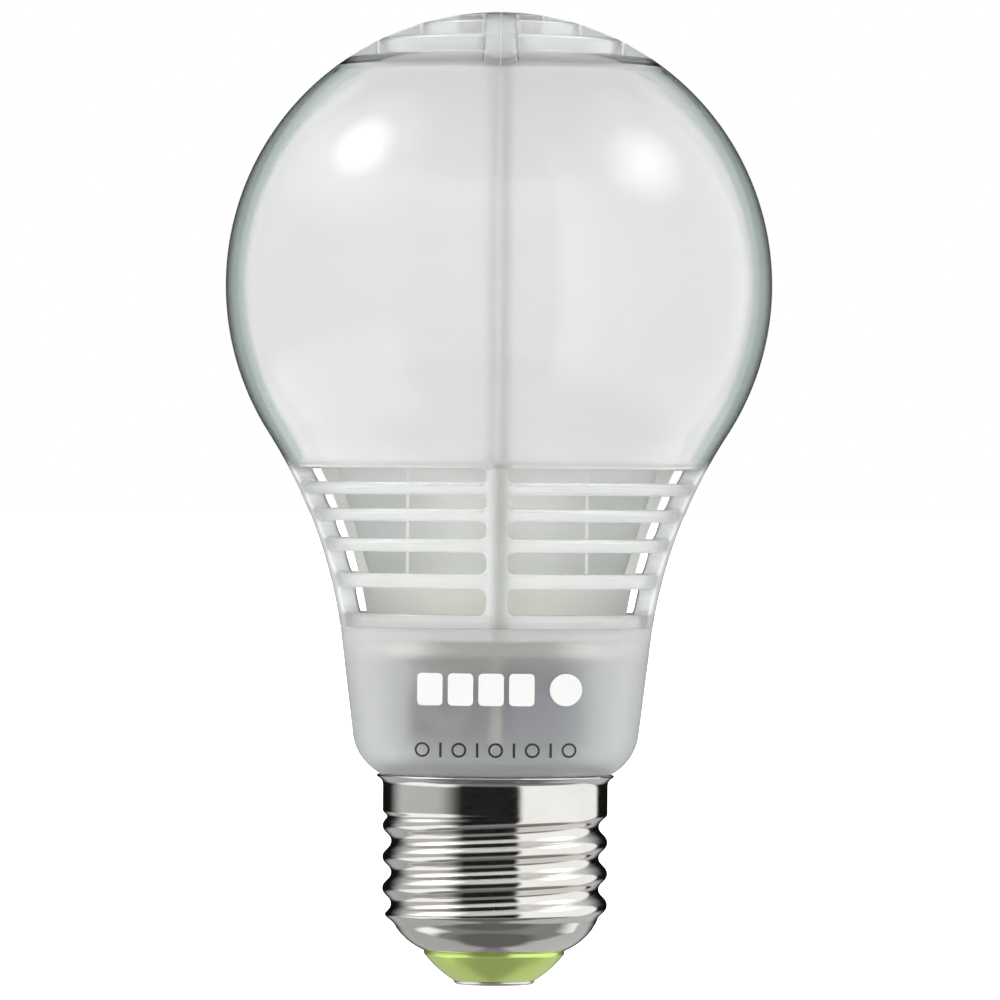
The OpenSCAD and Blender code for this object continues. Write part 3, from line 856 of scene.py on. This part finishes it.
def add_print(patch, rows, closed):
    """A thin raised print from rows of (x, height) points, pressed onto the front of the neck."""
    layers = []
    for rise in (PRINT_RISE, -PRINT_SINK):
        layer = []
        for row in rows:
            points = []
            for x, z in row:
                r = neck_outer_r(z) + rise
                points.append((x, -math.sqrt(r * r - x * x), z))
            layer.append(patch.loop(points))
        layers.append(layer)
    top, under = layers
    patch.strips(top, closed)
    patch.strips(under[::-1], closed)
    for a, b in ((top[0], under[0]), (under[-1], top[-1])):
        patch.strip(b, a, closed)
    if not closed:
        for end in (0, -1):
            for k in range(len(rows) - 1):
                patch.faces.append((top[k][end], top[k + 1][end], under[k + 1][end], under[k][end]))


def print_bar(patch, x0, x1, z0, z1, bend, steps=8):
    """A filled bar with rounded corners."""
    rows = []
    heights = [z0 + bend * (1 - math.cos(math.pi / 2 * k / steps)) for k in range(steps + 1)]
    heights += [lerp(z0 + bend, z1 - bend, k / 10) for k in range(1, 10)]
    heights += [z1 - bend * (1 - math.sin(math.pi / 2 * k / steps)) for k in range(steps + 1)]
    for z in heights:
        inside = max(z0 + bend - z, z - z1 + bend, 0.0)
        pull = bend - math.sqrt(max(bend * bend - inside * inside, 0.0))
        rows.append([(lerp(x0 + pull, x1 - pull, k / 10), z) for k in range(11)])
    add_print(patch, rows, False)


def print_ring(patch, x, z, outer, inner):
    rows = []
    steps = 64
    for size in (outer, (outer + inner) / 2, inner):
        turns = [2 * math.pi * k / steps for k in range(steps)]
        rows.append([(x + size * math.cos(a), z + size * math.sin(a)) for a in turns])
    add_print(patch, rows, True)


white_print = Patch()
for k in range(4):
    print_bar(white_print, -9.0 + 3.5 * k, -6.1 + 3.5 * k, 32.7, 36.4, 0.5)
print_ring(white_print, 8.0, 34.55, 1.85, 0.04)
make_piece("white_print", white_print.verts, white_print.faces, mat_white_print)
black_print = Patch()
for k in range(9):
    middle = -8.4 + 2.1 * k
    if k % 2:
        print_bar(black_print, middle - 0.14, middle + 0.14, 26.75, 28.45, 0.1, 4)
    else:
        print_ring(black_print, middle, 27.6, 0.86, 0.62)
make_piece("black_print", black_print.verts, black_print.faces, mat_black_print)

# ---------------------------------------------------------------- screw cap

CAP_R, ROOT_R, PITCH = 13.05, 12.05, 3.629
CREST_Z = 16.55
CAP_WALL = 0.3
THREAD_LOW = 7.0
CAP_AROUND = 288


def smooth(t):
    t = min(max(t, 0.0), 1.0)
    return t * t * (3 - 2 * t)


def thread_r(z, angle):
    """Radius of the rolled thread: rounded crests and roots that wind up to the right."""
    phase = (z - CREST_Z) / PITCH - angle / (2 * math.pi)
    wave = 0.5 + 0.5 * math.cos(2 * math.pi * phase)
    wave = lerp(wave, smooth(wave), 0.35)
    fade = smooth((z - THREAD_LOW) / 1.4)
    tuck = 0.3 * min(max((8.3 - z) / 1.2, 0.0), 1.0) ** 2
    return ROOT_R - tuck + (CAP_R - ROOT_R) * wave * fade


def cap_profile():
    """(radius, height) from the flared lip down the plain collar."""
    rows = [(13.74, 24.32), (13.78, 24.2), (13.7, 24.08)]
    rows += [(13.35, 23.82), (13.16, 23.6), (CAP_R + 0.02, 23.35), (CAP_R, 23.1)]
    rows += [(CAP_R, lerp(23.0, 20.3, k / 6)) for k in range(7)]
    return rows


def cap_rows(inset):
    """Rows of (radius, height) from the lip down the thread to the bowl's edge, moved in by inset."""
    rows = [[(r - inset, z)] * CAP_AROUND for r, z in cap_profile()]
    steps = 110
    for k in range(steps + 1):
        z = lerp(20.1, 7.5, k / steps)
        collar = smooth(z - 19.15)
        rows.append([(lerp(thread_r(z, 2 * math.pi * i / CAP_AROUND), CAP_R, collar) - inset, z)
                     for i in range(CAP_AROUND)])
    bowl = [(11.75, 7.1), (11.5, 6.75), (11.38, 6.5), (11.2, 6.25), (10.95, 5.95), (10.62, 5.6),
            (10.2, 5.2), (9.7, 4.8), (9.1, 4.42), (8.6, 4.15), (8.3, 4.0), (8.15, 3.97)]
    rows += [[(r - inset * 0.8, z + inset * 0.6)] * CAP_AROUND for r, z in bowl]
    return rows


def cap_mesh():
    """The cap's sheet as one closed surface, down its outside and up its inside."""
    patch = Patch()
    step = 2 * math.pi / CAP_AROUND
    loops = []
    for row in cap_rows(0.0) + cap_rows(CAP_WALL)[::-1]:
        loops.append(patch.loop([(r * math.cos(i * step), r * math.sin(i * step), z)
                                 for i, (r, z) in enumerate(row)]))
    patch.strips(loops, closed=True)
    patch.strip(loops[-1], loops[0], closed=True)
    return patch


cap = cap_mesh()
make_piece("rolled_screw_cap", cap.verts, cap.faces, mat_nickel, "screw_cap", crease=50)

# ---------------------------------------------------------------- insulator and contact

CONTACT_R = 4.7
BOWL_EDGE, BOWL_FOOT, BOWL_R = (7.95, 3.3), (4.75, 0.48), 13.0
chord = (BOWL_EDGE[0] - BOWL_FOOT[0], BOWL_EDGE[1] - BOWL_FOOT[1])
chord_len = math.hypot(*chord)
lift = math.sqrt(BOWL_R ** 2 - (chord_len / 2) ** 2)
bowl_cr = (BOWL_EDGE[0] + BOWL_FOOT[0]) / 2 - lift * chord[1] / chord_len
bowl_cz = (BOWL_EDGE[1] + BOWL_FOOT[1]) / 2 + lift * chord[0] / chord_len
bowl_start = math.degrees(math.atan2(BOWL_EDGE[1] - bowl_cz, BOWL_EDGE[0] - bowl_cr))
bowl_end = math.degrees(math.atan2(BOWL_FOOT[1] - bowl_cz, BOWL_FOOT[0] - bowl_cr))
# from the rivet hole over the hollow behind the bowl to the outer edge
insulator = lathe([(1.6, 5.6), (2.4, 5.6), (2.4, 3.2), (6.3, 3.2), (6.3, 5.6), (7.5, 5.6), (7.5, 4.0),
                   (8.1, 4.0), (8.17, 3.93), (8.16, 3.62), (8.1, 3.46)]
                  + arc(bowl_cr, bowl_cz, BOWL_R, bowl_start, bowl_end, 24)
                  + [(CONTACT_R - 0.3, 0.5), (1.6, 0.5)], 192)
make_piece("green_insulator", insulator.verts, insulator.faces, mat_green, "insulator")
contact = lathe([(0.02, 0.0), (1.2, 0.0), (2.4, 0.01), (3.6, 0.04)]
                + arc(CONTACT_R - 0.42, 0.46, 0.42, -80, 0, 8)
                + [(CONTACT_R - 0.05, 0.49), (1.55, 0.49), (1.55, 6.0), (2.2, 6.0), (2.25, 6.3),
                   (1.9, 6.6), (0.02, 6.6)], 160)
make_piece("contact_disc", contact.verts, contact.faces, mat_contact, "centre_contact")

# ---------------------------------------------------------------- carried-over CAD nodes

cad_looks = {
    "board_carrier": carrier_plastic(),
    "light_board_wide": light_board(),
    "leds_wide": grained("led_phosphor", (0.85, 0.72, 0.25), 0.35, coat=0.4),
    "board_link": grained("plug_strip", (0.05, 0.05, 0.05), 0.45),
    # painted light: the driver board's and transformer core's tops are made paler
    "driver_board": painted_light_top(grained("driver_board", (0.05, 0.11, 0.10), 0.4),
                             0.033, 0.038, (0.42, 0.44, 0.40)),
    "transformer_core": painted_light_top(grained("ferrite", (0.06, 0.06, 0.065), 0.55, grain=1600),
                                 0.033, 0.037, (0.34, 0.34, 0.33)),
    "transformer_coil": grained("coil_tape", (0.16, 0.17, 0.17), 0.35),
    "bulk_capacitor": grained("capacitor_sleeve", (0.02, 0.03, 0.08), 0.25, coat=0.5),
    "film_capacitor": grained("film_capacitor", (0.07, 0.09, 0.13), 0.3, coat=0.4),
    "choke": grained("choke_winding", (0.12, 0.10, 0.09), 0.4),
    "bridge_rectifier": grained("chip_plastic", (0.02, 0.02, 0.022), 0.5, grain=1600),
    "radio_board": grained("radio_board", (0.02, 0.13, 0.06), 0.35, coat=0.3),
    "radio_shield": grained("tinned_can", (0.66, 0.66, 0.64), 0.3, metallic=1.0),
    "antenna": grained("gold_track", (0.90, 0.66, 0.26), 0.25, metallic=1.0),
    "fuse": grained("fuse_glaze", (0.24, 0.28, 0.12), 0.3, coat=0.4),
    "live_wire": grained("black_wire", (0.02, 0.02, 0.02), 0.4),
    "neutral_wire": grained("white_wire", (0.80, 0.80, 0.77), 0.4),
}
shared = {"light_board_deep": "light_board_wide", "leds_deep": "leds_wide",
          "control_chip": "bridge_rectifier", "power_switch": "bridge_rectifier"}
for name, obj in nodes.items():
    look = cad_looks.get(shared.get(name, name))
    if look:
        obj.data.materials.clear()
        obj.data.materials.append(look)

# ---------------------------------------------------------------- stage

def build_world():
    """Plain studio whose light differs by kind of ray, fitted to the photograph's reflections.

    The camera sees plain white, mirror-like reflections see soft boxes with dark gaps between them,
    and all other rays see a softer fill."""
    world = bpy.data.worlds.new("studio")
    world.use_nodes = True
    scene.world = world
    tree = world.node_tree
    tree.nodes.clear()
    place = add_node(tree, "ShaderNodeTexCoord")
    split = add_node(tree, "ShaderNodeSeparateXYZ")
    tree.links.new(place.outputs["Generated"], split.inputs["Vector"])
    X, Y, Z = (split.outputs[k] for k in "XYZ")

    def math_node(operation, a, b=None):
        item = add_node(tree, "ShaderNodeMath", operation=operation)
        for socket, value in zip(item.inputs, (a, b)):
            if value is None:
                continue
            if isinstance(value, (int, float)):
                socket.default_value = value
            else:
                tree.links.new(value, socket)
        return item.outputs[0]

    def window(value, low, high, soft):
        """1 between low and high, with soft edges."""
        found = []
        for edge, side in ((low, 1), (high, -1)):
            item = add_node(tree, "ShaderNodeMapRange",
                            {"From Min": edge - side * soft, "From Max": edge + side * soft,
                             "To Min": 0.0, "To Max": 1.0},
                            interpolation_type="SMOOTHSTEP")
            tree.links.new(value, item.inputs["Value"])
            found.append(item.outputs["Result"])
        return math_node("MULTIPLY", *found)

    # turn 0 is the camera's side (-Y), +90 the right (+X); angle 0 is straight behind the bulb
    turn = math_node("MULTIPLY", math_node("ARCTAN2", X, math_node("MULTIPLY", Y, -1.0)), 180 / math.pi)
    lift_angle = math_node("MULTIPLY", math_node("ARCSINE", Z), 180 / math.pi)
    behind_angle = math_node("MULTIPLY", math_node("ARCCOSINE", Y), 180 / math.pi)

    def levels(zones, base):
        """The brightest zone at each direction; a zone of a full turn goes all the way round."""
        total = base
        for t0, t1, ts, l0, l1, ls, level in zones:
            mask = window(lift_angle, l0, l1, ls)
            if t1 - t0 < 360:
                mask = math_node("MULTIPLY", mask, window(turn, t0, t1, ts))
            total = math_node("MAXIMUM", math_node("MULTIPLY", mask, level), total)
        return total

    mirrored_light = levels([  # turn low, turn high, soft, lift low, lift high, soft, level
        (26, 129, 4, -42, 62, 10, 1.22),
        (-124, -48, 16, -42, 62, 10, 0.62),
        (-126, -44, 12, -52, -14, 8, 1.3),
        (-180, 180, 0, 28, 200, 14, 0.8),
        (-180, 180, 0, -70, -30, 12, 0.28),
        (-180, 180, 0, -200, -60, 8, 0.15),
        (122, 174, 7, -68, -16, 7, 0.6),
        (-174, -122, 7, -68, -16, 7, 0.5),
        (45, 130, 30, 22, 66, 20, 1.8),
        (64, 106, 22, 32, 50, 14, 6.5),
        (-124, -50, 28, 22, 66, 20, 2.4),
        (-105, -71, 18, 37, 54, 10, 8.5),
    ], 0.004)
    fill_light = levels([
        (24, 150, 8, -42, 48, 14, 1.42),
        (-150, -40, 8, -42, 48, 14, 1.52),
        (-60, 50, 8, -36, 48, 8, 1.88),
        (-180, 180, 0, 10, 200, 10, 0.95),
        (-180, 180, 0, -200, -22, 12, 1.12),
    ], 0.5)
    # dimmer and faintly green straight behind the bulb, fitted to the tone of the shell's edge
    dim = add_node(tree, "ShaderNodeMapRange",
                   {"From Min": 6, "From Max": 34, "To Min": 0.47, "To Max": 0.71})
    tree.links.new(behind_angle, dim.inputs["Value"])
    behind = window(behind_angle, -10, 40, 4)
    fill_light = blend(tree, behind, fill_light, dim.outputs["Result"])
    rays = add_node(tree, "ShaderNodeLightPath")
    light = add_node(tree, "ShaderNodeBackground")
    mirror_ray = math_node("MULTIPLY", rays.outputs["Is Glossy Ray"],
                           math_node("SUBTRACT", 1.0, rays.outputs["Is Transmission Ray"]))
    tree.links.new(blend(tree, mirror_ray, fill_light, mirrored_light), light.inputs["Strength"])
    plain = add_node(tree, "ShaderNodeBackground", {"Strength": 1.0})
    plain.inputs["Color"].default_value = (1, 1, 1, 1)
    tinted = math_node("MULTIPLY", behind, math_node("SUBTRACT", 1.0, mirror_ray))
    tree.links.new(blend_colour(tree, tinted, (1.0, 1.0, 1.0), (0.89, 1.0, 0.98)), light.inputs["Color"])
    mix = add_node(tree, "ShaderNodeMixShader")
    tree.links.new(rays.outputs["Is Camera Ray"], mix.inputs["Fac"])
    tree.links.new(light.outputs[0], mix.inputs[1])
    tree.links.new(plain.outputs[0], mix.inputs[2])
    output = add_node(tree, "ShaderNodeOutputWorld")
    tree.links.new(mix.outputs[0], output.inputs["Surface"])
    world.cycles.sampling_method = "MANUAL"
    world.cycles.sample_map_resolution = 512


def build_floor():
    """A plain white floor that only the camera sees."""
    mesh = bpy.data.meshes.new("floor")
    half = 30.0
    level = -0.0006
    corners = [(-half, -half, level), (half, -half, level), (half, half, level), (-half, half, level)]
    mesh.from_pydata(corners, [], [(0, 1, 2, 3)])
    material, tree, shader = new_material("floor_white")
    shader.inputs["Base Color"].default_value = (0.9, 0.9, 0.9, 1)
    shader.inputs["Roughness"].default_value = 0.9
    shader.inputs["Emission Color"].default_value = (1, 1, 1, 1)
    shader.inputs["Emission Strength"].default_value = 1.0
    mesh.materials.append(material)
    floor = bpy.data.objects.new("floor", mesh)
    scene.collection.objects.link(floor)
    for ray in ("visible_diffuse", "visible_glossy", "visible_transmission", "visible_shadow"):
        setattr(floor, ray, False)


def build_camera():
    data = bpy.data.cameras.new("camera")
    data.lens = 300
    data.sensor_width = 36
    data.clip_start = 0.01
    data.clip_end = 100
    camera = bpy.data.objects.new("camera", data)
    camera.location = (0.0003, -0.967, 0.0562)
    camera.rotation_euler = (math.radians(90), math.radians(-0.42), 0)
    scene.collection.objects.link(camera)
    scene.camera = camera


build_world()
build_floor()
build_camera()

scene.view_settings.view_transform = "Standard"
scene.cycles.use_denoising = True
